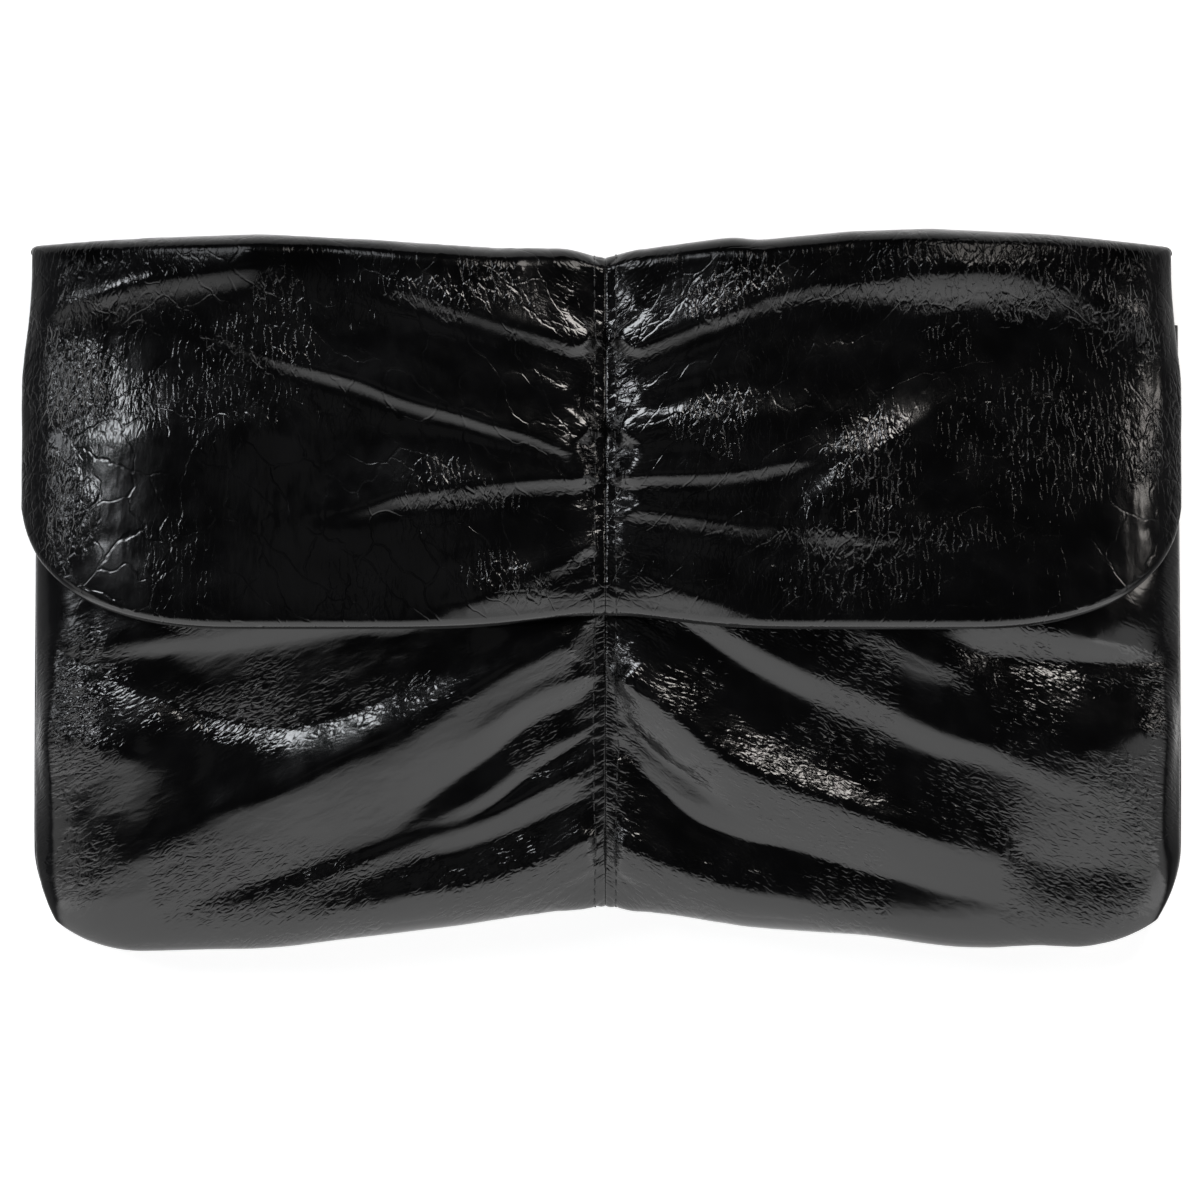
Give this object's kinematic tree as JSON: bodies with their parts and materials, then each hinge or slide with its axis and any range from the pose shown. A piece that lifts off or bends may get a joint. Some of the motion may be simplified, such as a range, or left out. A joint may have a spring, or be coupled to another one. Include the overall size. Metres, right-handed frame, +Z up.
{
  "type": "envelope clutch",
  "caption": "Soft envelope clutch in black crinkled glossy leather, its pouch and front flap gathered along a vertical centre seam, lying on its back.",
  "frame": {"origin": "middle of the clutch's outline, on the table it lies on", "axes": "+X to the right of the flap, +Y from the base to the top fold, +Z up out of the flap"},
  "size_m": [0.3078, 0.1895, 0.0384],
  "materials": {
    "leather": "crinkled, high gloss",
    "facing": "smooth, satin",
    "snap": "plated"
  },
  "bodies": {
    "root": {"front_left": "leather", "front_right": "leather", "back_left": "leather", "back_right": "leather", "flap_left": "leather", "flap_right": "leather", "flap_facing": "facing", "magnet_snap": "snap"}
  },
  "joints": []
}
